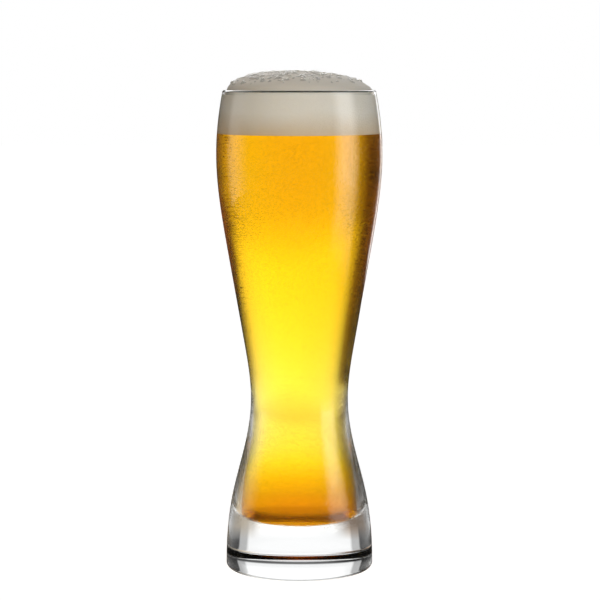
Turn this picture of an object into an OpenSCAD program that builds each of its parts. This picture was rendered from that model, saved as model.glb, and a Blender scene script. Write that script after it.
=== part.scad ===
// Weizen glass: a tall waisted beer glass on a heavy clear base, filled with wheat beer and its head of foam.
// The glass stands on Z = 0 and turns about the Z axis. All lengths are in millimetres.

/* [Glass outline] */
// Height of the glass from the table to the top of the rim
glass_h = 235; // [225:1:270]
// Outer diameter at the rim
rim_d = 74.8; // [70:0.2:80]
// Outer diameter of the belly, the widest place
belly_d = 81.1; // [74:0.1:88]
// Height of the belly's widest place
belly_z = 204; // [190:1:214]
// Outer diameter of the waist, the narrowest place
waist_d = 47.8; // [42:0.2:58]
// Height of the waist's narrowest place
waist_z = 84; // [70:1:100]
// Outer diameter of the foot
foot_d = 72.4; // [64:0.2:80]
// Angle by which the wall leans inwards where it meets the rim, in degrees
rim_angle = 11; // [0:0.5:16]

/* [Glass wall] */
// Wall thickness at the rim
rim_wall = 1.9; // [1.2:0.1:2.6]
// Wall thickness at the belly
belly_wall = 2.3; // [1.6:0.1:3.2]
// Wall thickness at the waist
waist_wall = 6.2; // [4:0.1:8]
// Wall thickness just above the base
base_wall = 13.5; // [9:0.1:16]

/* [Base] */
// Thickness of the solid base under the middle of the cup
base_h = 23.5; // [16:0.5:34]
// Height in which the inner wall rounds into the cup's nearly flat floor
floor_round = 3.5; // [2:0.5:8]
// Radius of the rounded outer heel
heel_r = 2.2; // [1:0.1:5]
// Width of the flat ring that the glass stands on
ring_w = 2.6; // [1.5:0.1:5]
// Depth of the hollow under the base, inside the ring
punt_h = 2; // [0.8:0.1:4]

/* [Contents] */
// Distance from the rim down to the top of the beer
head_band = 21.2; // [10:0.2:40]
// Height of the foam's dome above the rim
dome_h = 9.4; // [4:0.1:16]
// Clearance between the contents and the glass, and between beer and foam
contents_gap = 0.1; // [0.05:0.05:0.3]

/* [Hidden] */
$fn = 128;

// Exponents of the rounded shapes: a higher one is flatter in the middle and tighter at the edge
floor_fullness = 6;
dome_fullness = 2.4;

// Numbers of straight steps along each curved stretch of an outline
wall_steps = 72;
floor_steps = 20;
dome_steps = 28;
rim_steps = 16;
heel_steps = 8;
punt_steps = 10;

// Passes that settle the outline's slopes
slope_passes = 48;

// Angles of a quarter and a half turn
quarter_turn = 90;
half_turn = 180;

// Places between foot and waist, and between waist and belly: the share of the height between them,
// and the share of the way from the waist's radius to the wider one
flank_share = [0.413, 0.748];
hip_share = [0.78, 0.156];
taper_share = [0.217, 0.175];
shoulder_share = [0.633, 0.703];

// The rim is a half round as wide as the wall, turned by the wall's lean
rim_r = rim_wall / 2;
rim_mid_z = glass_h - rim_r;
rim_outer = [rim_d / 2, rim_mid_z + rim_r * sin(rim_angle)];
rim_mid = [rim_outer[0] - rim_r * cos(rim_angle), rim_mid_z];
rim_inner = rim_mid - (rim_outer - rim_mid);

// Stations of the outer wall, as [height, radius]
foot_point = [heel_r, foot_d / 2];
waist_point = [waist_z, waist_d / 2];
belly_point = [belly_z, belly_d / 2];
outer_stations = [
    foot_point,
    between(foot_point, waist_point, flank_share),
    between(foot_point, waist_point, hip_share),
    waist_point,
    between(waist_point, belly_point, taper_share),
    between(waist_point, belly_point, shoulder_share),
    belly_point,
    [rim_outer[1], rim_outer[0]]
];
outer_slopes = settled(outer_stations, end_slopes(outer_stations, 0, -tan(rim_angle)), slope_passes);

// Stations of the wall's thickness, as [height, thickness measured level]
wall_stations = [
    [base_h, base_wall],
    [waist_z, waist_wall],
    [belly_z, belly_wall],
    [rim_inner[1], rim_wall / cos(rim_angle)]
];
thinning = (waist_wall - base_wall) / (waist_z - base_h);
wall_slopes = settled(wall_stations, end_slopes(wall_stations, thinning, 0), slope_passes);

floor_top_z = base_h + floor_round;
beer_z = glass_h - head_band;
dome_edge_z = rim_inner[1];
punt_r = foot_d / 2 - heel_r - ring_w;

// A station between a narrow and a wide one, where share holds [share of the height, share of the widening]
function between(low, high, share) =
    let (narrow = min(low[1], high[1]), wide = max(low[1], high[1]))
    [low[0] + share[0] * (high[0] - low[0]), narrow + share[1] * (wide - narrow)];

// Slopes to start from: the given ones at both ends, and level ones between
function end_slopes(stations, first, last) =
    let (top = len(stations) - 1)
    [for (i = [0 : top]) i == 0 ? first : i == top ? last : 0];

// Moves the inner slopes towards those that give the curve one curvature on both sides of each station
function settled(stations, slopes, passes) =
    passes <= 0 ? slopes : settled(stations, settled_once(stations, slopes), passes - 1);

function settled_once(stations, slopes) =
    let (top = len(stations) - 1)
    [for (i = [0 : top]) i == 0 || i == top ? slopes[i] : even_slope(stations, slopes, i)];

function even_slope(stations, slopes, i) =
    let (
        below = stations[i][0] - stations[i - 1][0],
        above = stations[i + 1][0] - stations[i][0],
        rise_below = (stations[i][1] - stations[i - 1][1]) / below,
        rise_above = (stations[i + 1][1] - stations[i][1]) / above,
        pull = 3 * (above * rise_below + below * rise_above)
    )
    (pull - above * slopes[i - 1] - below * slopes[i + 1]) / (2 * (below + above));

// The value at height z of the smooth curve through the stations
function curve_at(stations, slopes, z) =
    let (
        last = len(stations) - 2,
        passed = len([for (i = [1 : last]) if (z >= stations[i][0]) i]),
        low = stations[passed],
        high = stations[passed + 1],
        span = high[0] - low[0],
        t = (z - low[0]) / span,
        blend = t * t * (3 - 2 * t),
        low_pull = t * (1 - t) * (1 - t) * span * slopes[passed],
        high_pull = t * t * (1 - t) * span * slopes[passed + 1]
    )
    low[1] + blend * (high[1] - low[1]) + low_pull - high_pull;

function outer_r(z) = curve_at(outer_stations, outer_slopes, z);

function wall_r(z) = outer_r(z) - curve_at(wall_stations, wall_slopes, z);

// The cup's radius at height z, drawn in to a rounded floor below floor_top_z, where gap is kept clear of the glass
function cup_r(z, gap = 0) =
    let (depth = max(0, (floor_top_z - z) / (floor_round - gap)))
    (wall_r(z) - gap) * pow(max(0, 1 - pow(depth, floor_fullness)), 1 / floor_fullness);

// The height of the rounded floor, as its outline turns from the wall, at 0 degrees, to the middle, at 90
function floor_z(turn, gap = 0) = floor_top_z - (floor_round - gap) * pow(sin(turn), 2 / floor_fullness);

// The foam's dome as shares of its radius and rise, as its outline turns from the edge, at 0 degrees, to the top
function dome_share(turn) = [pow(cos(turn), 2 / dome_fullness), pow(sin(turn), 2 / dome_fullness)];

// Points on an arc about a centre
function arc(centre, r, from, to, steps) =
    [for (i = [0 : steps]) let (a = from + (to - from) * i / steps) centre + r * [cos(a), sin(a)]];

// Heights in even steps
function heights(from, to, steps) = [for (i = [0 : steps]) from + (to - from) * i / steps];

// The cup's outline from the given height down to the middle of its floor
function cup_outline(top_z, gap = 0) = concat(
    [for (z = heights(top_z, floor_top_z, wall_steps)) [wall_r(z) - gap, z]],
    [for (i = [1 : floor_steps - 1]) let (z = floor_z(quarter_turn * i / floor_steps, gap)) [cup_r(z, gap), z]],
    [[0, base_h + gap]]
);

// The clear glass: shallow hollow underneath, standing ring, heel, waisted wall, rounded rim and the cup
module glass() {
    underside = [for (i = [0 : punt_steps]) let (s = i / punt_steps) [punt_r * s, punt_h * (1 - s * s)]];
    heel = arc([foot_d / 2 - heel_r, heel_r], heel_r, -quarter_turn, 0, heel_steps);
    side = [for (z = heights(heel_r, rim_outer[1], wall_steps)) [outer_r(z), z]];
    rim = arc(rim_mid, rim_r, rim_angle, rim_angle + half_turn, rim_steps);
    outline = concat(
        underside,
        heel,
        [for (i = [1 : wall_steps - 1]) side[i]],
        rim,
        [for (i = [1 : wall_steps + floor_steps]) cup_outline(rim_inner[1])[i]]
    );
    color([0.86, 0.92, 0.93, 0.35])
        rotate_extrude()
            polygon(outline);
}

// The beer, which fills the cup up to the foam
module beer() {
    color([0.96, 0.72, 0.05])
        rotate_extrude()
            polygon(concat([[0, beer_z]], cup_outline(beer_z, contents_gap)));
}

// The head of foam: a band against the glass and a flattened dome that stands above the rim
module foam_head() {
    low_z = beer_z + contents_gap;
    edge = [wall_r(dome_edge_z) - contents_gap, dome_edge_z];
    rise = glass_h - dome_edge_z + dome_h;
    band = [for (z = heights(low_z, dome_edge_z, floor_steps)) [wall_r(z) - contents_gap, z]];
    dome = [
        for (i = [1 : dome_steps - 1])
            let (share = dome_share(quarter_turn * i / dome_steps))
            [edge[0] * share[0], edge[1] + rise * share[1]]
    ];
    color([0.96, 0.93, 0.86])
        rotate_extrude()
            polygon(concat([[0, low_z]], band, dome, [[0, glass_h + dome_h]]));
}

glass();
beer();
foam_head();
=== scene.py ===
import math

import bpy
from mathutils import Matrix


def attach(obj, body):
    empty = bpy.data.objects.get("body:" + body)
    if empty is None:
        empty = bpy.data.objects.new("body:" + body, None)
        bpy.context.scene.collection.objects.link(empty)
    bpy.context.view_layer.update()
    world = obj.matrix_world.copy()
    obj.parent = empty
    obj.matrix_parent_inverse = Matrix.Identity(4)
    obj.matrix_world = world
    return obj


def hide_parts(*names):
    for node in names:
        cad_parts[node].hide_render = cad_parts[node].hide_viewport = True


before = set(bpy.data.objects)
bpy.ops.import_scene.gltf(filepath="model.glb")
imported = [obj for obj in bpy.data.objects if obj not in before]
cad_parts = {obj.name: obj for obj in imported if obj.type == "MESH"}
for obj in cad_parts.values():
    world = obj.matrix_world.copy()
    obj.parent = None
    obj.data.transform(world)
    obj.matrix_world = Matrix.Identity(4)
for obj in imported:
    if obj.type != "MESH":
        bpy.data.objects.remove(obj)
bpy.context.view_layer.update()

# A full weizen glass: the turned glass, the beer, its head of foam, the bubbles on the head and the dew.
# Lengths are in metres, +Z is up and the glass is turned about the Z axis.

MM = 0.001

# Sizes of the glass, its wall, its base and what it holds. They are the solids' sizes, but for the dome of
# foam, which is drawn a little lower and rounder here.
GLASS_H = 235 * MM
RIM_D = 74.8 * MM
BELLY_D = 81.1 * MM
BELLY_Z = 204 * MM
WAIST_D = 47.8 * MM
WAIST_Z = 84 * MM
FOOT_D = 72.4 * MM
RIM_ANGLE = math.radians(11)
RIM_WALL = 1.9 * MM
BELLY_WALL = 2.3 * MM
WAIST_WALL = 6.2 * MM
BASE_WALL = 13.5 * MM
BASE_H = 23.5 * MM
FLOOR_ROUND = 3.5 * MM
HEEL_R = 2.2 * MM
RING_W = 2.6 * MM
PUNT_H = 2 * MM
HEAD_BAND = 21.2 * MM
DOME_H = 9.1 * MM
CONTENTS_GAP = 0.1 * MM
FLOOR_FULLNESS = 6
DOME_FULLNESS = 2.15
SLOPE_PASSES = 48

# Places between the driving sizes, as shares of the height and of the widening between them
FLANK_SHARE = (0.413, 0.748)
HIP_SHARE = (0.78, 0.156)
TAPER_SHARE = (0.217, 0.175)
SHOULDER_SHARE = (0.633, 0.703)

# How finely the outlines are drawn and turned
WALL_STEPS = 170
RIM_STEPS = 18
HEEL_STEPS = 10
FLOOR_STEPS = 28
PUNT_STEPS = 12
BAND_STEPS = 30
DOME_STEPS = 90
TURN_STEPS = 192

# Points of a turned shape that are closer than this are one point, at its seam and its poles
SEAM_REACH = 0.001 * MM


# The outline of the glass, worked out as the solids work it out

def between(low, high, share):
    """A station between a narrow and a wide one."""
    narrow, wide = sorted((low[1], high[1]))
    return low[0] + share[0] * (high[0] - low[0]), narrow + share[1] * (wide - narrow)


def even_slope(stations, slopes, i):
    """The slope at station i that gives the curve one curvature on both sides of it."""
    below = stations[i][0] - stations[i - 1][0]
    above = stations[i + 1][0] - stations[i][0]
    rise_below = (stations[i][1] - stations[i - 1][1]) / below
    rise_above = (stations[i + 1][1] - stations[i][1]) / above
    pull = 3 * (above * rise_below + below * rise_above)
    return (pull - above * slopes[i - 1] - below * slopes[i + 1]) / (2 * (below + above))


def smooth_curve(stations, first_slope, last_slope):
    """A function of height: the smooth curve through the stations, with these slopes at its ends."""
    inner = range(1, len(stations) - 1)
    slopes = [first_slope] + [0.0 for _ in inner] + [last_slope]
    for _ in range(SLOPE_PASSES):
        slopes = [first_slope] + [even_slope(stations, slopes, i) for i in inner] + [last_slope]

    def value(z):
        i = sum(z >= stations[k][0] for k in inner)
        span = stations[i + 1][0] - stations[i][0]
        t = (z - stations[i][0]) / span
        rise = t * t * (3 - 2 * t) * (stations[i + 1][1] - stations[i][1])
        low_pull = t * (1 - t) ** 2 * span * slopes[i]
        high_pull = t * t * (1 - t) * span * slopes[i + 1]
        return stations[i][1] + rise + low_pull - high_pull

    return value


RIM_R = RIM_WALL / 2
RIM_MID = (RIM_D / 2 - RIM_R * math.cos(RIM_ANGLE), GLASS_H - RIM_R)
RIM_OUTER_Z = RIM_MID[1] + RIM_R * math.sin(RIM_ANGLE)
RIM_INNER_Z = RIM_MID[1] - RIM_R * math.sin(RIM_ANGLE)
FLOOR_TOP_Z = BASE_H + FLOOR_ROUND
BEER_Z = GLASS_H - HEAD_BAND
PUNT_R = FOOT_D / 2 - HEEL_R - RING_W

foot = (HEEL_R, FOOT_D / 2)
waist = (WAIST_Z, WAIST_D / 2)
belly = (BELLY_Z, BELLY_D / 2)
outer_r = smooth_curve(
    [
        foot,
        between(foot, waist, FLANK_SHARE),
        between(foot, waist, HIP_SHARE),
        waist,
        between(waist, belly, TAPER_SHARE),
        between(waist, belly, SHOULDER_SHARE),
        belly,
        (RIM_OUTER_Z, RIM_D / 2),
    ],
    0,
    -math.tan(RIM_ANGLE),
)
wall_t = smooth_curve(
    [
        (BASE_H, BASE_WALL),
        (WAIST_Z, WAIST_WALL),
        (BELLY_Z, BELLY_WALL),
        (RIM_INNER_Z, RIM_WALL / math.cos(RIM_ANGLE)),
    ],
    (WAIST_WALL - BASE_WALL) / (WAIST_Z - BASE_H),
    0,
)


def wall_r(z):
    """The inner radius of the glass above the rounded floor."""
    return outer_r(z) - wall_t(z)


def cup_r(z, gap):
    """The cup's radius, drawn in to its rounded floor, with gap kept clear of the glass."""
    depth = max(0.0, (FLOOR_TOP_Z - z) / (FLOOR_ROUND - gap))
    return (wall_r(z) - gap) * max(0.0, 1 - depth**FLOOR_FULLNESS) ** (1 / FLOOR_FULLNESS)


def steps(start, end, count):
    """Even steps from start to end, both included."""
    return [start + (end - start) * i / count for i in range(count + 1)]


def arc(centre, radius, start, end, count):
    """Points on an arc, at angles in degrees."""
    turns = [math.radians(a) for a in steps(start, end, count)]
    return [(centre[0] + radius * math.cos(a), centre[1] + radius * math.sin(a)) for a in turns]


def cup_outline(top_z, gap=0.0):
    """The cup from the middle of its floor up to the given height."""
    rounds = [90 * (1 - s) for s in steps(0, 1, FLOOR_STEPS)][1:-1]
    floor_line = [(0.0, BASE_H + gap)]
    for turn in rounds:
        z = FLOOR_TOP_Z - (FLOOR_ROUND - gap) * math.sin(math.radians(turn)) ** (2 / FLOOR_FULLNESS)
        floor_line.append((cup_r(z, gap), z))
    return floor_line + [(wall_r(z) - gap, z) for z in steps(FLOOR_TOP_Z, top_z, WALL_STEPS)]


# Helpers that add objects and nodes

# What an outline says of its surface: how much dew is on it, and whether beer or foam wets it
MARKS = ("misted", "wetted")

# A face is wetted when its mark, which is the mean of its corners' marks, is above this
ALL_WET = 0.99

WHITE = (1.0, 1.0, 1.0, 1.0)


def linear(code):
    """An sRGB hex colour as Blender's linear RGBA."""
    values = [int(code[i : i + 2], 16) / 255 for i in (1, 3, 5)]
    return [v / 12.92 if v <= 0.04045 else ((v + 0.055) / 1.055) ** 2.4 for v in values] + [1.0]


def add(tree, kind, inputs=None, **settings):
    """A new node with its settings, its input values and the sockets that feed it."""
    node = tree.nodes.new(kind)
    for name, value in settings.items():
        setattr(node, name, value)
    for key, value in (inputs or {}).items():
        if isinstance(value, bpy.types.NodeSocket):
            tree.links.new(value, node.inputs[key])
        else:
            node.inputs[key].default_value = value
    return node


def made_object(name, mesh):
    """An object at the origin that shows this mesh."""
    obj = bpy.data.objects.new(name, mesh)
    bpy.context.scene.collection.objects.link(obj)
    return obj


def line_mesh(name, points, **marks):
    """An outline as a chain of vertices in the XZ plane, with a list of values for each mark."""
    mesh = bpy.data.meshes.new(name)
    mesh.from_pydata([(r, 0, z) for r, z in points], [(i, i + 1) for i in range(len(points) - 1)], [])
    for mark in MARKS:
        field = mesh.attributes.new(mark, "FLOAT", "POINT")
        field.data.foreach_set("value", marks.get(mark, [0.0] * len(points)))
    return mesh


def grown(name, start, tree, values):
    """A plain object: what the tree makes of the mesh start with these values in its named inputs."""
    obj = made_object(name, start)
    growth = obj.modifiers.new(tree.name, "NODES")
    growth.node_group = tree
    for item in tree.interface.items_tree:
        if item.in_out == "INPUT" and item.name in values:
            growth[item.identifier] = values[item.name]
    graph = bpy.context.evaluated_depsgraph_get()
    mesh = bpy.data.meshes.new_from_object(obj.evaluated_get(graph), depsgraph=graph)
    obj.modifiers.remove(growth)
    obj.data = mesh
    return obj


def new_tree(name, inputs):
    """A Geometry Nodes tree with a geometry going through it and these named inputs."""
    tree = bpy.data.node_groups.new(name, "GeometryNodeTree")
    tree.interface.new_socket("Geometry", in_out="INPUT", socket_type="NodeSocketGeometry")
    for label, kind in inputs:
        tree.interface.new_socket(label, in_out="INPUT", socket_type="NodeSocket" + kind)
    tree.interface.new_socket("Geometry", in_out="OUTPUT", socket_type="NodeSocketGeometry")
    return tree, add(tree, "NodeGroupInput").outputs


def end_tree(tree, geometry, material, wetted_material=None):
    """Ends a tree: real meshes, smooth shading and the material, with another where the shape is wetted."""
    real = add(tree, "GeometryNodeRealizeInstances", {0: geometry})
    smooth = add(tree, "GeometryNodeSetShadeSmooth", {0: real.outputs[0]})
    dressed = add(tree, "GeometryNodeSetMaterial", {"Geometry": smooth.outputs[0], "Material": material})
    if wetted_material:
        mark = add(tree, "GeometryNodeInputNamedAttribute", {"Name": "wetted"}, data_type="FLOAT").outputs[0]
        wet = add(tree, "FunctionNodeCompare", {0: mark, 1: ALL_WET}, data_type="FLOAT").outputs[0]
        pick = {"Geometry": dressed.outputs[0], "Selection": wet, "Material": wetted_material}
        dressed = add(tree, "GeometryNodeSetMaterial", pick)
    add(tree, "NodeGroupOutput", {0: dressed.outputs[0]})
    return tree


def math_node(tree, operation, a, b=0.0):
    """What an operation makes of two sockets or numbers."""
    return add(tree, "ShaderNodeMath", {0: a, 1: b}, operation=operation).outputs[0]


def product(tree, value, *others):
    """Sockets and numbers, multiplied."""
    for other in others:
        value = math_node(tree, "MULTIPLY", value, other)
    return value


def share_of(tree, value, low, high, to_low=0.0, to_high=1.0):
    """How far a value is on the way from low to high, clamped, or the number that this gives."""
    limits = {"Value": value, "From Min": low, "From Max": high, "To Min": to_low, "To Max": to_high}
    return add(tree, "ShaderNodeMapRange", limits).outputs[0]


def blend(tree, factor, low, high):
    """The number between low and high that a factor picks."""
    return add(tree, "ShaderNodeMix", {"Factor": factor, "A": low, "B": high}, data_type="FLOAT").outputs[0]


def mixed(tree, factor, a, b):
    """The colour between a and b that a factor picks."""
    return add(tree, "ShaderNodeMix", {"Factor": factor, "A": a, "B": b}, data_type="RGBA").outputs[2]


def split(tree, vector):
    """The X, Y and Z of a vector."""
    return add(tree, "ShaderNodeSeparateXYZ", {0: vector}).outputs


def noise_at(tree, place, size, detail=0.0):
    """Smooth noise whose lumps are about this size."""
    return add(tree, "ShaderNodeTexNoise", {"Vector": place, "Scale": 1 / size, "Detail": detail}).outputs[0]


def ramp(tree, value, stops):
    """The colour that a ramp gives a value. A stop is a place and a grey level or a colour's three parts."""
    node = add(tree, "ShaderNodeValToRGB", {0: value})
    marks = node.color_ramp.elements
    marks.remove(marks[1])
    for mark, (place, *parts) in zip([marks[0]] + [marks.new(stop[0]) for stop in stops[1:]], stops):
        mark.color = tuple(parts) * (3 // len(parts)) + (1,)
    return node.outputs["Color"]


# Shapes that a rule makes

def turned(tree, outline, count):
    """The closed shape that an outline makes when it is turned about the Z axis in count steps."""
    size = add(tree, "GeometryNodeAttributeDomainSize", {0: outline}, component="MESH")
    rows = size.outputs["Point Count"]
    columns = math_node(tree, "ADD", count, 1.0)
    grid = add(tree, "GeometryNodeMeshGrid", {"Vertices X": columns, "Vertices Y": rows})
    index = add(tree, "GeometryNodeInputIndex").outputs[0]
    row = math_node(tree, "FLOORED_MODULO", index, rows)
    column = math_node(tree, "FLOOR", math_node(tree, "DIVIDE", index, rows))
    angle = product(tree, math_node(tree, "DIVIDE", column, count), 2 * math.pi)
    place = add(tree, "GeometryNodeInputPosition").outputs[0]
    sample = {"Geometry": outline, "Value": place, "Index": row}
    at_row = add(tree, "GeometryNodeSampleIndex", sample, data_type="FLOAT_VECTOR").outputs[0]
    turn = {"Vector": at_row, "Angle": angle}
    around = add(tree, "ShaderNodeVectorRotate", turn, rotation_type="Z_AXIS").outputs[0]
    shape = add(tree, "GeometryNodeSetPosition", {"Geometry": grid.outputs[0], "Position": around}).outputs[0]
    for mark in MARKS:
        given = add(tree, "GeometryNodeInputNamedAttribute", {"Name": mark}, data_type="FLOAT")
        sample = {"Geometry": outline, "Value": given.outputs[0], "Index": row}
        at_row = add(tree, "GeometryNodeSampleIndex", sample, data_type="FLOAT")
        store = {"Geometry": shape, "Name": mark, "Value": at_row.outputs[0]}
        stored = add(tree, "GeometryNodeStoreNamedAttribute", store, data_type="FLOAT", domain="POINT")
        shape = stored.outputs[0]
    return add(tree, "GeometryNodeMergeByDistance", {"Geometry": shape, "Distance": SEAM_REACH}).outputs[0]


def turning_tree():
    """Turns an outline about the Z axis."""
    inputs = [("Steps", "Int"), ("Material", "Material"), ("Wetted material", "Material")]
    tree, given = new_tree("turned", inputs)
    shape = turned(tree, given["Geometry"], given["Steps"])
    return end_tree(tree, shape, given["Material"], given["Wetted material"])


# The foam's lean and lumps set in over this height above the rim, and its lumps have this size
FREE_RISE = 3 * MM
LUMP_SIZE = 7 * MM


def froth_tree():
    """Turns the outline of the foam, whose dome leans a little towards -X and has shallow lumps."""
    inputs = [("Steps", "Int"), ("Lean", "Float"), ("Lump", "Float"), ("Material", "Material")]
    tree, given = new_tree("froth", inputs)
    shape = turned(tree, given["Geometry"], given["Steps"])
    place = add(tree, "GeometryNodeInputPosition").outputs[0]
    part = split(tree, place)
    free = share_of(tree, part["Z"], GLASS_H, GLASS_H + FREE_RISE)
    lean = product(tree, part["X"], -1.0, given["Lean"])
    swell = math_node(tree, "SUBTRACT", noise_at(tree, place, LUMP_SIZE, detail=2.0), 0.5)
    lump = product(tree, swell, given["Lump"])
    rise = product(tree, math_node(tree, "ADD", lean, lump), free)
    offset = add(tree, "ShaderNodeCombineXYZ", {"Z": rise}).outputs[0]
    moved = add(tree, "GeometryNodeSetPosition", {"Geometry": shape, "Offset": offset}).outputs[0]
    return end_tree(tree, moved, given["Material"])


# The coarse bubbles set in between these two heights above the rim. They thin out to a share of their number
# towards +X, and between the patches that they stand in. Most are small, and each is sunk by half its radius.
BUBBLES_START = 3 * MM
BUBBLES_FULL = 7 * MM
THIN_SIDE = 0.25
PATCH_SIZE = 6 * MM
PATCH_EDGE = (0.4, 0.52)
THIN_BETWEEN = 0.3
MOST_PER_SQUARE_METRE = 2e6
SMALLNESS = 2.5
SUNK = 0.5


def bubble_tree():
    """Scatters coarse bubbles over a dome, in patches that are denser on top and towards -X."""
    inputs = [("Gap", "Float"), ("Seed", "Int"), ("Smallest", "Float"), ("Largest", "Float")]
    tree, given = new_tree("crown_bubbles", inputs + [("Material", "Material")])
    place = add(tree, "GeometryNodeInputPosition").outputs[0]
    part = split(tree, place)
    top = share_of(tree, part["Z"], GLASS_H + BUBBLES_START, GLASS_H + BUBBLES_FULL)
    side = share_of(tree, part["X"], -RIM_D / 2, RIM_D / 2, 1.0, THIN_SIDE)
    patch = share_of(tree, noise_at(tree, place, PATCH_SIZE, detail=1.0), *PATCH_EDGE, THIN_BETWEEN, 1.0)
    spread = {
        "Mesh": given["Geometry"],
        "Distance Min": given["Gap"],
        "Density Max": MOST_PER_SQUARE_METRE,
        "Density Factor": product(tree, top, side, patch),
        "Seed": given["Seed"],
    }
    points = add(tree, "GeometryNodeDistributePointsOnFaces", spread, distribute_method="POISSON")
    chance = add(tree, "FunctionNodeRandomValue", {"Seed": given["Seed"]}, data_type="FLOAT").outputs[1]
    size = blend(tree, math_node(tree, "POWER", chance, SMALLNESS), given["Smallest"], given["Largest"])
    ball = add(tree, "GeometryNodeMeshUVSphere", {"Segments": 8, "Rings": 5, "Radius": 1.0}).outputs[0]
    stand = {"Points": points.outputs["Points"], "Instance": ball, "Scale": size}
    standing = add(tree, "GeometryNodeInstanceOnPoints", stand).outputs[0]
    depth = add(tree, "ShaderNodeCombineXYZ", {"Z": product(tree, size, -SUNK)}).outputs[0]
    sink = {"Instances": standing, "Translation": depth, "Local Space": False}
    sunk = add(tree, "GeometryNodeTranslateInstances", sink).outputs[0]
    return end_tree(tree, sunk, given["Material"])


# Materials

GLASS_IOR = 1.52
BEER_IOR = 1.345


def new_material(name):
    """A material with an empty node tree and its output node."""
    material = bpy.data.materials.new(name)
    material.use_nodes = True
    material.node_tree.nodes.clear()
    return material, material.node_tree, add(material.node_tree, "ShaderNodeOutputMaterial")


def lets_lamps_through(tree, clear, tint):
    """The clear shader, which lamps shine straight through in this tint, so that what it holds is lit."""
    path = add(tree, "ShaderNodeLightPath")
    straight = add(tree, "ShaderNodeBsdfTransparent", {"Color": tint})
    mix = {0: path.outputs["Is Shadow Ray"], 1: clear, 2: straight.outputs[0]}
    return add(tree, "ShaderNodeMixShader", mix).outputs[0]


# Beads of dew: their size, the values of the noise where they start and are full, and how far they stand out
DEW_SIZE = 0.6 * MM
DEW_EDGE = (0.5, 0.8)
DEW_DEPTH = 0.03 * MM

# Painted shade: the glass's colour turns dark over the round rim, up to this far over the rim's outer edge,
# for the dark room that the rim shows
PAINTED_RIM_SHADE_OVER = 0.2 * MM


def soda_lime_glass():
    """Soda-lime glass, mould-blown and fire-polished: clear, with dew that dapples what shows through it and
    painted shade that darkens the rim.
    """
    material, tree, out = new_material("soda_lime_glass")
    place = add(tree, "ShaderNodeTexCoord").outputs["Object"]
    limits = {"Value": noise_at(tree, place, DEW_SIZE), "From Min": DEW_EDGE[0], "From Max": DEW_EDGE[1]}
    beads = add(tree, "ShaderNodeMapRange", limits, interpolation_type="SMOOTHSTEP").outputs[0]
    misted = add(tree, "ShaderNodeAttribute", attribute_name="misted")
    grain = product(tree, beads, misted.outputs["Fac"])
    bump = add(tree, "ShaderNodeBump", {"Height": grain, "Distance": DEW_DEPTH})
    veil = mixed(tree, grain, linear("#FDFEFE"), linear("#DDD3BC"))
    # Painted shade: the round rim is coloured dark, standing in for the dark room that it bends into view
    rim = share_of(tree, split(tree, place)["Z"], RIM_INNER_Z, RIM_OUTER_Z + PAINTED_RIM_SHADE_OVER)
    clear = add(
        tree,
        "ShaderNodeBsdfPrincipled",
        {
            "Base Color": mixed(tree, rim, veil, linear("#26292A")),
            "Roughness": 0.0,
            "IOR": GLASS_IOR,
            "Transmission Weight": 1.0,
            "Normal": bump.outputs[0],
        },
    )
    shader = lets_lamps_through(tree, clear.outputs[0], linear("#F4F7F6"))
    tree.links.new(shader, out.inputs["Surface"])
    return material


def wetted_glass():
    """The cup's wetted wall and floor, where light bends only by the ratio of glass to beer."""
    material, tree, out = new_material("wetted_soda_lime_glass")
    clear = add(
        tree,
        "ShaderNodeBsdfPrincipled",
        {
            "Base Color": linear("#FFFFFF"),
            "Roughness": 0.0,
            "IOR": GLASS_IOR / BEER_IOR,
            "Transmission Weight": 1.0,
        },
    )
    shader = lets_lamps_through(tree, clear.outputs[0], linear("#FFFFFF"))
    tree.links.new(shader, out.inputs["Surface"])
    return material


# What the beer takes out of the light on each metre, as the colour that it leaves and a density
BEER_LEAVES = (0.9977, 0.878, 0.0, 1.0)
BEER_DENSITY = 88.0

# Painted shade in the lower beer: what it lets through, by height, darker and more amber towards the floor
PAINTED_SHADE_LOW = 23 * MM
PAINTED_SHADE_HIGH = 63 * MM
LOWER_BEER_PAINTED_SHADE = (
    (0.0, 0.68, 0.3, 0.006),
    (0.15, 0.6, 0.32, 0.002),
    (0.375, 0.77, 0.52, 0.008),
    (0.6, 1.0, 0.86, 0.15),
    (0.8, 1.0, 1.0, 0.7),
    (1.0, 1.0, 1.0, 1.0),
)


def wheat_beer():
    """Wheat beer: a clear liquid that turns from straw to amber with depth, and darker and more amber near
    the floor by painted shade.
    """
    material, tree, out = new_material("wheat_beer")
    height = split(tree, add(tree, "ShaderNodeTexCoord").outputs["Object"])["Z"]
    # Painted shade: the beer's colour turns darker and more amber towards the floor
    painted_shade = ramp(tree, share_of(tree, height, PAINTED_SHADE_LOW, PAINTED_SHADE_HIGH), LOWER_BEER_PAINTED_SHADE)
    clear = add(
        tree,
        "ShaderNodeBsdfPrincipled",
        {"Base Color": painted_shade, "Roughness": 0.0, "IOR": 1.0, "Transmission Weight": 1.0},
    )
    shader = lets_lamps_through(tree, clear.outputs[0], linear("#FFF6D0"))
    depth = add(tree, "ShaderNodeVolumeAbsorption", {"Color": BEER_LEAVES, "Density": BEER_DENSITY})
    tree.links.new(shader, out.inputs["Surface"])
    tree.links.new(depth.outputs[0], out.inputs["Volume"])
    return material


# The froth's fine bubbles, and its darker, more amber foot, which is partly wetter foam and partly painted
# shade and painted amber light
# from the beer: where it starts and ends over the beer, and how unevenly, in clouds of this size
FROTH_CELL = 0.9 * MM
FROTH_DEPTH = 0.12 * MM
SHADED_WET_FOOT = BEER_Z - 1 * MM
SHADED_WET_TOP = BEER_Z + 11 * MM
SHADED_WET_UNEVEN = 1.5 * MM
CLOUD_SIZE = 14 * MM
CLOUD_EDGE = (0.3, 0.7)


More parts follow.
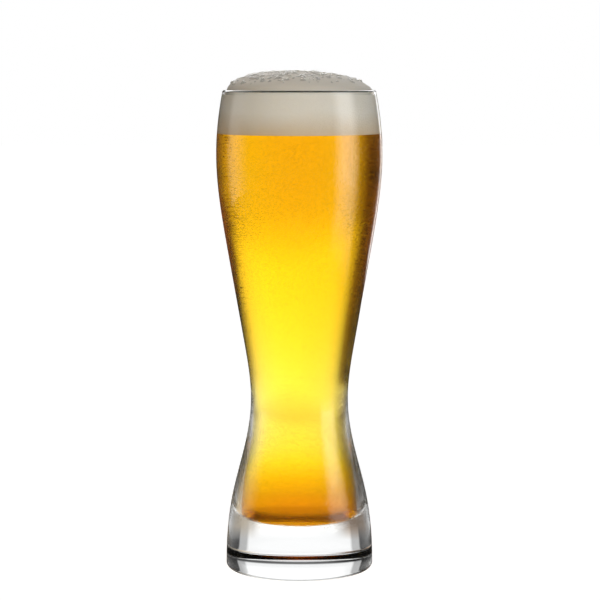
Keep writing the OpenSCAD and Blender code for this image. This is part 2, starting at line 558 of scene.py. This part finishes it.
def beer_foam():
    """Beer froth: fine bubbles that scatter the light, so it looks matt, soft and off-white."""
    material, tree, out = new_material("beer_foam")
    place = add(tree, "ShaderNodeTexCoord").outputs["Object"]
    cells = add(tree, "ShaderNodeTexVoronoi", {"Vector": place, "Scale": 1 / FROTH_CELL}, feature="F1")
    clouds = noise_at(tree, place, CLOUD_SIZE, detail=3.0)
    uneven = share_of(tree, clouds, *CLOUD_EDGE, -SHADED_WET_UNEVEN, SHADED_WET_UNEVEN)
    height = math_node(tree, "ADD", split(tree, place)["Z"], uneven)
    # Partly painted shade and light: the foam turns darker and more amber towards the beer, for wetter foam
    # and for the beer's shade and amber light
    dry_and_unshaded = share_of(tree, height, SHADED_WET_FOOT, SHADED_WET_TOP)
    bump = add(tree, "ShaderNodeBump", {"Height": cells.outputs["Distance"], "Distance": FROTH_DEPTH})
    froth = add(
        tree,
        "ShaderNodeBsdfPrincipled",
        {
            "Base Color": mixed(tree, dry_and_unshaded, linear("#DCC7A4"), linear("#F2EDE2")),
            "Roughness": 0.7,
            "IOR": 1.33,
            "Subsurface Weight": 0.5,
            "Subsurface Radius": (1.0, 0.9, 0.75),
            "Subsurface Scale": 2 * MM,
            "Normal": bump.outputs[0],
        },
    )
    tree.links.new(froth.outputs[0], out.inputs["Surface"])
    return material


def bubble_film():
    """The thin wet film of a coarse bubble: glossy and nearly clear, so that the froth shows through it."""
    material, tree, out = new_material("bubble_film")
    film_shader = add(
        tree,
        "ShaderNodeBsdfPrincipled",
        {"Base Color": linear("#FDFDFB"), "Roughness": 0.03, "IOR": 1.45, "Transmission Weight": 0.8},
    )
    tree.links.new(film_shader.outputs[0], out.inputs["Surface"])
    return material


# The glass and what it holds

# How dewy the outer wall is at a height: only beside the beer, and least round the waist
DEW = (
    (23 * MM, 0.0),
    (27 * MM, 1.0),
    (50 * MM, 0.9),
    (78 * MM, 0.3),
    (120 * MM, 0.3),
    (165 * MM, 0.6),
    (BEER_Z - 3 * MM, 0.8),
    (BEER_Z, 0.0),
)


def dew_at(z):
    """The dew at a height, on the straight line between the two places next to it."""
    for (low, less), (high, more) in zip(DEW, DEW[1:]):
        if low <= z <= high:
            return less + (more - less) * (z - low) / (high - low)
    return 0.0


def glass_outline():
    """Underside, standing ring, heel, outer wall, rim and cup, then the marks for dew and the wetted cup."""
    underside = [(PUNT_R * s, PUNT_H * (1 - s * s)) for s in steps(0, 1, PUNT_STEPS)]
    heel = arc((FOOT_D / 2 - HEEL_R, HEEL_R), HEEL_R, -90, 0, HEEL_STEPS)
    side = [(outer_r(z), z) for z in steps(HEEL_R, RIM_OUTER_Z, WALL_STEPS)][1:-1]
    lean = math.degrees(RIM_ANGLE)
    rim = arc(RIM_MID, RIM_R, lean, lean + 180, RIM_STEPS)
    cup = cup_outline(RIM_INNER_Z)[::-1][1:]
    before, after = len(underside) + len(heel), len(rim) + len(cup)
    misted = [0.0] * before + [dew_at(z) for _, z in side] + [0.0] * after
    wetted = [0.0] * (before + len(side) + len(rim)) + [1.0] * len(cup)
    return underside + heel + side + rim + cup, misted, wetted


def foam_outline():
    """A band of foam against the glass and the dome over the rim."""
    low_z = BEER_Z + CONTENTS_GAP
    edge_r = wall_r(RIM_INNER_Z) - CONTENTS_GAP
    rise = GLASS_H - RIM_INNER_Z + DOME_H
    band = [(wall_r(z) - CONTENTS_GAP, z) for z in steps(low_z, RIM_INNER_Z, BAND_STEPS)]
    dome = []
    for turn in steps(0, math.pi / 2, DOME_STEPS)[1:-1]:
        across, up = (part ** (2 / DOME_FULLNESS) for part in (math.cos(turn), math.sin(turn)))
        dome.append((edge_r * across, RIM_INNER_Z + rise * up))
    return [(0.0, low_z)] + band + dome + [(0.0, RIM_INNER_Z + rise)]


def ride(obj, slot, *nodes):
    """Puts a finished piece on the part's body, in the place of the nodes it stands for."""
    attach(obj, "root")
    if nodes:
        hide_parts(*nodes)


turning = turning_tree()

points, misted, wetted = glass_outline()
glass = grown(
    "weizen_glass",
    line_mesh("glass_outline", points, misted=misted, wetted=wetted),
    turning,
    {"Steps": TURN_STEPS, "Material": soda_lime_glass(), "Wetted material": wetted_glass()},
)
ride(glass, "clear_glass", "glass")

beer_liquid = wheat_beer()
beer = grown(
    "beer_body",
    line_mesh("beer_outline", cup_outline(BEER_Z, CONTENTS_GAP) + [(0.0, BEER_Z)]),
    turning,
    {"Steps": TURN_STEPS, "Material": beer_liquid, "Wetted material": beer_liquid},
)
ride(beer, "wheat_beer", "beer")

foam = grown(
    "foam_crown",
    line_mesh("foam_outline", foam_outline()),
    froth_tree(),
    {"Steps": TURN_STEPS, "Lean": 0.02, "Lump": 1.2 * MM, "Material": beer_foam()},
)
ride(foam, "beer_foam", "foam_head")

bubbles = grown(
    "crown_bubbles",
    foam.data.copy(),
    bubble_tree(),
    {"Gap": 1.2 * MM, "Seed": 4, "Smallest": 0.5 * MM, "Largest": 1.9 * MM, "Material": bubble_film()},
)
ride(bubbles, "beer_foam")


# The studio: a white floor, a world that is light and dark round the glass, films and cards

FLOOR_HALF = 6.0
FLOOR_DROP = 0.2 * MM
FLOOR_GLOW = 0.92


def floor():
    """A floor that stays white to the camera, keeps the glass's soft shadow and is darker mirrored in it."""
    corners = [(x * FLOOR_HALF, y * FLOOR_HALF, -FLOOR_DROP) for x, y in ((-1, -1), (1, -1), (1, 1), (-1, 1))]
    mesh = bpy.data.meshes.new("floor")
    mesh.from_pydata(corners, [], [(0, 1, 2, 3)])
    obj = made_object("floor", mesh)
    material, tree, out = new_material("white_floor")
    path = add(tree, "ShaderNodeLightPath").outputs
    tone = mixed(tree, path["Is Glossy Ray"], linear("#B0B0B0"), linear("#606060"))
    lit = add(tree, "ShaderNodeBsdfDiffuse", {"Color": tone})
    glow = add(tree, "ShaderNodeEmission", {"Strength": product(tree, path["Is Camera Ray"], FLOOR_GLOW)})
    both = add(tree, "ShaderNodeAddShader", {0: lit.outputs[0], 1: glow.outputs[0]})
    tree.links.new(both.outputs[0], out.inputs["Surface"])
    mesh.materials.append(material)
    obj.visible_transmission = False


# How bright the studio is round the glass, as seen through it: shares of a turn from the camera's side by way
# of -X, with the white sweep behind the glass at 0.5 and the dark room on both sides of it. The first is the
# sweep and the far floor, the second the table and the third the wall at eye level.
ROUND_FLOOR = (
    (0.0, 1.0),
    (0.24, 0.9),
    (0.285, 0.1),
    (0.37, 0.03),
    (0.374, 0.5),
    (0.4, 0.5),
    (0.404, 1.0),
    (0.596, 1.0),
    (0.6, 0.5),
    (0.626, 0.5),
    (0.63, 0.03),
    (0.715, 0.1),
    (0.76, 0.9),
    (1.0, 1.0),
)
ROUND_TABLE = (
    (0.0, 0.6),
    (0.3, 0.1),
    (0.417, 0.12),
    (0.422, 0.22),
    (0.433, 0.4),
    (0.442, 0.66),
    (0.45, 0.77),
    (0.464, 0.83),
    (0.478, 0.93),
    (0.5, 1.0),
    (0.55, 0.95),
    (0.567, 0.86),
    (0.578, 0.6),
    (0.586, 0.4),
    (0.667, 0.22),
    (0.75, 0.22),
    (1.0, 0.6),
)
ROUND_ROOM = (
    (0.0, 0.6),
    (0.15, 0.6),
    (0.2, 0.1),
    (0.27, 0.08),
    (0.285, 0.5),
    (0.3, 0.6),
    (0.335, 0.35),
    (0.347, 0.1),
    (0.374, 0.03),
    (0.399, 0.05),
    (0.421, 0.24),
    (0.437, 0.58),
    (0.46, 0.9),
    (0.54, 0.9),
    (0.578, 0.82),
    (0.598, 0.63),
    (0.633, 0.28),
    (0.68, 0.18),
    (0.74, 0.8),
    (0.9, 0.7),
    (1.0, 0.6),
)

# The colour of the room's darker sides, round the glass in the same way
ROUND_TINT = (
    (0.0, 1.0, 1.0, 1.0),
    (0.27, 1.0, 1.0, 1.0),
    (0.34, 1.0, 0.66, 0.4),
    (0.4, 1.0, 0.66, 0.4),
    (0.43, 1.0, 0.95, 0.9),
    (0.45, 1.0, 1.0, 1.0),
    (0.56, 1.0, 1.0, 1.0),
    (0.61, 1.0, 0.85, 0.65),
    (0.66, 1.0, 0.85, 0.65),
    (0.73, 1.0, 1.0, 1.0),
    (1.0, 1.0, 1.0, 1.0),
)

# Heights in the studio, as the Z of a direction from the glass: where one part of it passes into the next
NEAR_TABLE = (-0.65, -0.5)
NEAR_TABLE_TINT = (-0.65, -0.55)
TABLE_END = (-0.34, -0.29)
WALL_FOOT = (-0.17, -0.1)
WALL_TINT_TOP = (0.05, 0.1)
WALL_SHADE = (0.08, 0.1)
WALL_TOP = (0.15, 0.2)
LAMP_FOOT = (0.4, 0.44)
CEILING = (0.51, 0.53)

# How bright these parts are, and the whole room where the glass mirrors it
TABLE_GAIN = 1.45
WALL_GAIN = 1.2
LAMP_GAIN = 2.0
NEAR_TABLE_LEVEL = 1.05
WALL_SHADE_LEVEL = 0.12
CEILING_LEVEL = 0.1
MIRRORED_ROOM_LEVEL = 0.04

# Where the big soft light stands, as a direction from the glass. The cosine of the angle to it says how near
# a direction is, and the lamp over the camera's side sets in between these two.
FILL_FROM = (0.12, -0.993, 0.0)
LAMP_SPREAD = (0.3, 0.5)

# The soft light on the foam and the floor: by nearness to its direction, by height, and towards +X and -X
FILL_SPREAD = (0.15, 1.0)
FILL_LEVELS = (0.1, 1.9)
FILL_HEIGHTS = (0.2, 0.9)
FILL_HIGH_LEVEL = 0.35
RIGHT_SIDE = (0.5, 0.85)
RIGHT_LEVEL = 0.1
LEFT_SIDE = (-0.85, -0.35)
LEFT_LEVEL = 0.15
WARM_SIDE = (0.2, -0.7)

# The weaker light from above, by height and towards +X
TOP_HEIGHTS = (0.3, 0.9)
TOP_LEVEL = 0.35
TOP_SIDE = (-0.2, 0.5)

# A ray that was scattered at least once has a depth above this
ANY_DEPTH = 0.5


def round_about(tree, direction, stops):
    """The studio's brightness or colour in a direction from the glass's axis."""
    part = split(tree, direction)
    turn = math_node(tree, "ARCTAN2", part["X"], part["Y"])
    return ramp(tree, math_node(tree, "ADD", math_node(tree, "DIVIDE", turn, 2 * math.pi), 0.5), stops)


def room_seen(tree, direction, height, front):
    """How bright the studio is in a direction, as seen through the glass."""
    sweep = round_about(tree, direction, ROUND_FLOOR)
    table = product(tree, round_about(tree, direction, ROUND_TABLE), TABLE_GAIN)
    table = blend(tree, share_of(tree, height, *NEAR_TABLE), NEAR_TABLE_LEVEL, table)
    wall = product(tree, round_about(tree, direction, ROUND_ROOM), WALL_GAIN)
    room = blend(tree, share_of(tree, height, *TABLE_END), table, sweep)
    room = blend(tree, share_of(tree, height, *WALL_FOOT), room, wall)
    room = product(tree, room, share_of(tree, height, *WALL_SHADE, 1.0, WALL_SHADE_LEVEL))
    room = blend(tree, share_of(tree, height, *WALL_TOP), room, sweep)
    room = product(tree, room, share_of(tree, height, *CEILING, 1.0, CEILING_LEVEL))
    lamp = product(tree, share_of(tree, front, *LAMP_SPREAD), share_of(tree, height, *LAMP_FOOT))
    return product(tree, room, blend(tree, lamp, 1.0, LAMP_GAIN))


def soft_light(tree, across, height, front):
    """How bright the soft light on the foam and the floor is in a direction."""
    fill = share_of(tree, front, *FILL_SPREAD, *FILL_LEVELS)
    below = share_of(tree, height, *FILL_HEIGHTS, 1.0, FILL_HIGH_LEVEL)
    right = share_of(tree, across, *RIGHT_SIDE, 1.0, RIGHT_LEVEL)
    left = share_of(tree, across, *LEFT_SIDE, LEFT_LEVEL, 1.0)
    sides = product(tree, right, left)
    top = share_of(tree, height, *TOP_HEIGHTS, 0.0, TOP_LEVEL)
    top = product(tree, top, share_of(tree, across, *TOP_SIDE))
    return math_node(tree, "ADD", product(tree, fill, below, sides), top)


def room_colour(tree, direction, height, seen_through):
    """The colour of the wall at eye level and of the table, to the rays that see through the glass."""
    wall = share_of(tree, height, *WALL_FOOT)
    wall = product(tree, wall, share_of(tree, height, *WALL_TINT_TOP, 1.0, 0.0))
    table = share_of(tree, height, *NEAR_TABLE_TINT)
    table = product(tree, table, share_of(tree, height, *TABLE_END, 1.0, 0.0))
    paint = product(tree, seen_through, math_node(tree, "ADD", wall, table))
    return mixed(tree, paint, WHITE, round_about(tree, direction, ROUND_TINT))


def studio_world():
    """White to the camera, light and dark as seen through the glass, and a soft light on the rest."""
    world = bpy.data.worlds.new("studio")
    bpy.context.scene.world = world
    world.use_nodes = True
    tree = world.node_tree
    tree.nodes.clear()
    path = add(tree, "ShaderNodeLightPath").outputs
    to_camera = path["Is Camera Ray"]
    mirrored = path["Is Glossy Ray"]
    through = path["Is Transmission Ray"]
    direction = add(tree, "ShaderNodeTexCoord").outputs["Generated"]
    part = split(tree, direction)
    across, height = part["X"], part["Z"]
    facing = add(tree, "ShaderNodeVectorMath", {0: direction, 1: FILL_FROM}, operation="DOT_PRODUCT")
    front = facing.outputs["Value"]

    only_mirrored = math_node(tree, "GREATER_THAN", mirrored, through)
    seen = math_node(tree, "ADD", to_camera, product(tree, only_mirrored, MIRRORED_ROOM_LEVEL))
    seen = math_node(tree, "ADD", seen, product(tree, through, room_seen(tree, direction, height, front)))
    scattered = math_node(tree, "GREATER_THAN", path["Diffuse Depth"], ANY_DEPTH)
    neither = math_node(tree, "SUBTRACT", 1.0, math_node(tree, "MAXIMUM", to_camera, mirrored))
    lights = math_node(tree, "MAXIMUM", scattered, neither)
    strength = blend(tree, lights, seen, soft_light(tree, across, height, front))

    warm = product(tree, lights, share_of(tree, across, *WARM_SIDE))
    colour = mixed(tree, warm, room_colour(tree, direction, height, through), linear("#FFE2B8"))
    glow = add(tree, "ShaderNodeBackground", {"Color": colour, "Strength": strength})
    add(tree, "ShaderNodeOutputWorld", {"Surface": glow.outputs[0]})


# Films close outside the wall shade what shows through its sides. Each has the heights where it starts, is
# full, fades and ends, and what it lets through round the glass.
LOWER_FILM = (10.5 * MM, 13.5 * MM, 46 * MM, 62 * MM)
LOWER_FILM_ROUND = (
    (0.0, 1.0, 1.0, 1.0),
    (0.2, 1.0, 1.0, 1.0),
    (0.3, 0.4, 0.32, 0.22),
    (0.358, 0.55, 0.42, 0.24),
    (0.38, 0.7, 0.58, 0.36),
    (0.408, 0.95, 0.93, 0.85),
    (0.445, 1.0, 1.0, 1.0),
    (0.56, 1.0, 1.0, 1.0),
    (0.578, 0.65, 0.56, 0.46),
    (0.592, 0.5, 0.41, 0.32),
    (0.606, 0.3, 0.24, 0.18),
    (0.622, 0.11, 0.09, 0.07),
    (0.75, 0.07, 0.06, 0.06),
    (0.85, 1.0, 1.0, 1.0),
)
WAIST_FILM = (66 * MM, 75 * MM, 84 * MM, 91 * MM)
WAIST_FILM_ROUND = (
    (0.0, 1.0, 1.0, 1.0),
    (0.39, 1.0, 1.0, 1.0),
    (0.411, 0.6, 0.55, 0.6),
    (0.43, 1.0, 1.0, 1.0),
    (0.552, 1.0, 1.0, 1.0),
    (0.56, 0.85, 0.85, 0.9),
    (0.572, 0.57, 0.53, 0.6),
    (0.583, 0.46, 0.4, 0.45),
    (0.61, 0.52, 0.46, 0.5),
    (0.7, 1.0, 1.0, 1.0),
)
FILM_GAP = 1 * MM
FILM_STEPS = 30

# The beads of dew that catch the light on a film
BEAD_SIZE = 0.8 * MM
BEAD_EDGE = (0.5, 0.75)
BEAD_LIGHT = 0.45

# The table is dark close round the foot. A ring a little under its top makes it so: it starts just outside
# the foot, gets clearer from the first radius of the two and is clear at the second.
CONTACT_START = FOOT_D / 2 + 0.5 * MM
CONTACT = (39.5 * MM, 43.5 * MM)
CONTACT_DARK = 0.15
CONTACT_UNDER = 1 * MM
CONTACT_STEPS = 6


def film(name, outline, tint_in):
    """A turned film that shades what shows through the glass, in the tint that tint_in(tree, place) gives."""
    material, tree, out = new_material(name)
    place = add(tree, "ShaderNodeTexCoord").outputs["Object"]
    clear = add(tree, "ShaderNodeBsdfTransparent", {"Color": tint_in(tree, place)})
    tree.links.new(clear.outputs[0], out.inputs["Surface"])
    values = {"Steps": TURN_STEPS, "Material": material, "Wetted material": material}
    obj = grown(name, line_mesh(name + "_outline", outline), turning, values)
    obj.visible_camera = obj.visible_diffuse = obj.visible_glossy = obj.visible_shadow = False


def wall_film(name, heights, stops):
    """A film close round the wall, speckled where beads of dew catch the light."""
    start, full, fade, end = heights

    def tint_in(tree, place):
        height = split(tree, place)["Z"]
        low = share_of(tree, height, start, full)
        high = share_of(tree, height, end, fade)
        cover = math_node(tree, "MINIMUM", low, high)
        tint = mixed(tree, cover, WHITE, round_about(tree, place, stops))
        beads = share_of(tree, noise_at(tree, place, BEAD_SIZE), *BEAD_EDGE, 0.0, BEAD_LIGHT)
        return mixed(tree, beads, tint, WHITE)

    film(name, [(outer_r(z) + FILM_GAP, z) for z in steps(start, end, FILM_STEPS)], tint_in)


def contact_tint(tree, place):
    """Shades the table close round the foot, which shows in the floor of the cup."""
    radius = add(tree, "ShaderNodeVectorMath", {0: place}, operation="LENGTH").outputs["Value"]
    return share_of(tree, radius, *CONTACT, CONTACT_DARK, 1.0)


def films():
    """The films round the lower wall and the waist, and the ring just under the table top."""
    wall_film("lower_film", LOWER_FILM, LOWER_FILM_ROUND)
    wall_film("waist_film", WAIST_FILM, WAIST_FILM_ROUND)
    ring = [(r, -CONTACT_UNDER) for r in steps(CONTACT_START, CONTACT[1], CONTACT_STEPS)]
    film("contact_ring", ring, contact_tint)


CARD_STEPS = 24
CARD_AWAY = 0.9


def card(name, sides, heights, strength, soft, distance=CARD_AWAY, mirrored=True):
    """An upright white card bent round the glass, seen only mirrored in it or only through it.

    Its sides are azimuths from the camera's side towards +X. Its edges fade over the soft widths: degrees
    at the sides, then metres at the foot and the top."""
    verts, faces, cover = [], [], []
    for a in steps(*sides, CARD_STEPS):
        turn = math.radians(a)
        for z in steps(*heights, CARD_STEPS):
            verts.append((math.sin(turn) * distance, -math.cos(turn) * distance, z))
            inside = (a - sides[0], sides[1] - a, z - heights[0], heights[1] - z)
            cover.append(max(0.0, min([1.0] + [way / fade for way, fade in zip(inside, soft) if fade])))
    for i in range(CARD_STEPS):
        for j in range(CARD_STEPS):
            k = i * (CARD_STEPS + 1) + j
            faces.append((k, k + CARD_STEPS + 1, k + CARD_STEPS + 2, k + 1))
    mesh = bpy.data.meshes.new(name)
    mesh.from_pydata(verts, [], faces)
    mesh.attributes.new("cover", "FLOAT", "POINT").data.foreach_set("value", cover)
    obj = made_object(name, mesh)
    material, tree, out = new_material(name)
    glow = add(tree, "ShaderNodeEmission", {"Strength": strength})
    edge = add(tree, "ShaderNodeAttribute", attribute_name="cover")
    clear = add(tree, "ShaderNodeBsdfTransparent")
    mix = add(tree, "ShaderNodeMixShader", {0: edge.outputs["Fac"], 1: clear.outputs[0], 2: glow.outputs[0]})
    tree.links.new(mix.outputs[0], out.inputs["Surface"])
    mesh.materials.append(material)
    obj.visible_camera = obj.visible_diffuse = obj.visible_shadow = False
    obj.visible_glossy = mirrored
    obj.visible_transmission = not mirrored


def cards():
    """The cards: six that are mirrored in the glass, and one close behind it that brightens the beer."""
    card("softbox_right", sides=(47, 90), heights=(0.0, 1.0), strength=3.4, soft=(14, 14, 0, 0))
    card(
        "softbox_low",
        sides=(47, 90),
        heights=(0.001, 0.12),
        strength=2.2,
        soft=(14, 14, 0.08, 0),
        distance=0.4,
    )
    card("edge_strip", sides=(146, 159), heights=(0.0, 0.5), strength=2.2, soft=(5, 3, 0, 0))
    card("edge_line", sides=(164, 174), heights=(0.0, 0.5), strength=1.4, soft=(2, 2, 0, 0))
    card("softbox_left", sides=(-118, -74), heights=(0.0, 0.9), strength=1.0, soft=(10, 20, 0, 0))
    card("back_light", sides=(150, 230), heights=(0.42, 1.3), strength=4.5, soft=(10, 10, 0.05, 0.1))
    card(
        "bright_card",
        sides=(152, 199),
        heights=(0.03, 0.182),
        strength=1.62,
        soft=(22, 20, 0.05, 0.03),
        distance=0.12,
        mirrored=False,
    )


# The camera stands a little over the rim, 1 m from the glass, and looks a little down
CAMERA_BACK = 1.0
CAMERA_Z = 242.5 * MM
CAMERA_PITCH = math.radians(6.276)
CAMERA_LENS = 123
CAMERA_SENSOR = 36
CAMERA_SHIFT = 0.001
CAMERA_REACH = 50


def camera():
    """The camera, placed so that the glass stands in the picture as it does in the photo."""
    data = bpy.data.cameras.new("camera")
    data.lens = CAMERA_LENS
    data.sensor_width = CAMERA_SENSOR
    data.shift_x = CAMERA_SHIFT
    data.clip_end = CAMERA_REACH
    obj = bpy.data.objects.new("camera", data)
    bpy.context.scene.collection.objects.link(obj)
    obj.location = (0, -CAMERA_BACK, CAMERA_Z)
    obj.rotation_euler = (math.pi / 2 - CAMERA_PITCH, 0, 0)
    bpy.context.scene.camera = obj


floor()
studio_world()
films()
cards()
camera()

# How light is followed through glass and beer
scene = bpy.context.scene
scene.view_settings.view_transform = "Standard"
scene.cycles.use_denoising = True
scene.cycles.caustics_refractive = True
scene.cycles.caustics_reflective = False
scene.cycles.max_bounces = 24
scene.cycles.transmission_bounces = 20
scene.cycles.glossy_bounces = 8
scene.cycles.transparent_max_bounces = 16
